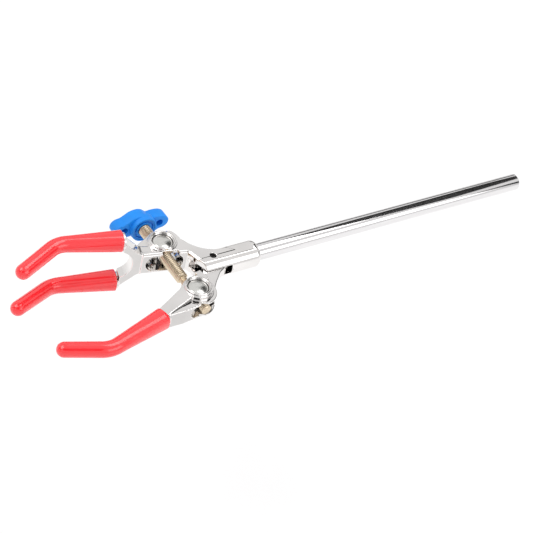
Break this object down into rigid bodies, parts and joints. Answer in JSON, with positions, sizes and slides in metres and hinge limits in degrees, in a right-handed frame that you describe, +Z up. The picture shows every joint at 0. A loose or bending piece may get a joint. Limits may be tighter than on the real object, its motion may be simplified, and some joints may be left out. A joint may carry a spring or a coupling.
{
  "type": "three-finger extension clamp",
  "caption": "Extension clamp for a retort stand: chromed fixed and hinged jaws with red sleeved fingers, a wing screw between them, and a plain support rod.",
  "frame": {"origin": "middle of the exposed support rod, on its axis, where a boss head grips it", "axes": "+X along the support rod from the jaws to its free end, +Y from the moving jaw to the knob, +Z up along the jaw hinge"},
  "size_m": [0.3336, 0.0937, 0.041],
  "materials": {
    "chrome_casting": "bright chrome plate on a polished casting",
    "chrome_rod": "bright chrome plate on drawn steel",
    "nickel_nut": "satin nickel plate with turned end faces",
    "pin_steel": "plain steel",
    "yellow_zinc": "yellow zinc plate, satin",
    "red_vinyl": "dipped soft vinyl, glossy",
    "blue_plastic": "moulded nylon, satin"
  },
  "bodies": {
    "frame": {"fixed_jaw": "chrome_casting", "hinge_pin": "pin_steel", "support_rod": "chrome_rod", "sleeve_upper": "red_vinyl", "sleeve_lower": "red_vinyl"},
    "fixed_trunnion": {"nut_fixed": "nickel_nut"},
    "screw": {"clamp_screw": "yellow_zinc"},
    "knob": {"wing_knob": "blue_plastic"},
    "swing_arm": {"moving_jaw": "chrome_casting", "sleeve_moving": "red_vinyl"},
    "moving_trunnion": {"nut_moving": "nickel_nut"}
  },
  "joints": [
    {"name": "jaw_hinge", "type": "hinge", "parent": "frame", "child": "swing_arm", "pos_m": [-0.124, 0, 0], "axis": [0, 0, -1], "range_deg": [-5.7, 27.5]},
    {"name": "knob_turn", "type": "hinge", "parent": "screw", "child": "knob", "pos_m": [-0.1455, 0.045, 0], "axis": [0, -1, 0], "range_deg": [-372, 1790]},
    {"name": "fixed_nut_turn", "type": "hinge", "parent": "frame", "child": "fixed_trunnion", "pos_m": [-0.1455, 0.02, 0], "axis": [0, 0, -1], "range_deg": [-3.2, 14.2]},
    {"name": "moving_nut_turn", "type": "hinge", "parent": "swing_arm", "child": "moving_trunnion", "pos_m": [-0.1455, -0.02, 0], "axis": [0, 0, -1], "range_deg": [-14.2, 3.2]},
    {"name": "screw_slide", "type": "slide", "parent": "fixed_trunnion", "child": "screw", "axis": [0, 1, 0], "range_m": [-0.0014, 0.0064]}
  ],
  "couplings": [
    {"joint": "knob_turn", "follows": "jaw_hinge", "ratio": 65},
    {"joint": "fixed_nut_turn", "follows": "jaw_hinge", "ratio": 0.5},
    {"joint": "moving_nut_turn", "follows": "jaw_hinge", "ratio": -0.5},
    {"joint": "screw_slide", "follows": "jaw_hinge", "m_per_rad": 0.012931}
  ]
}
